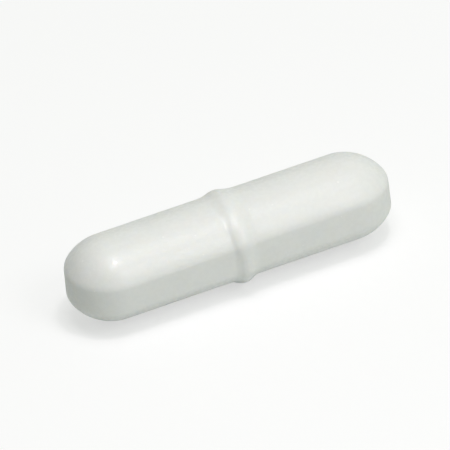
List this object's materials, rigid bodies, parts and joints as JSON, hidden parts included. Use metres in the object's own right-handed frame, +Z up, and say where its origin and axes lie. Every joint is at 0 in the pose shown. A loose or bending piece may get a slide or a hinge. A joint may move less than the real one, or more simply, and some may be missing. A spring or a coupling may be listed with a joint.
{
  "type": "magnetic stir bar",
  "caption": "Sealed white stirring bar with domed ends and a raised pivot ring round its middle. The magnet inside lets a stirrer below the vessel spin it.",
  "frame": {"origin": "under the middle of the bar, at the height of the surface that the pivot ring stands on", "axes": "+X along the bar, +Y across it, +Z up through the crown of the bar"},
  "size_m": [0.03, 0.0088, 0.0082],
  "materials": {
    "jacket": "white fluoropolymer, smooth and slightly waxy",
    "magnet": "cast magnet alloy, dull grey"
  },
  "bodies": {
    "root": {"jacket": "jacket", "magnet_rod": "magnet"}
  },
  "joints": []
}
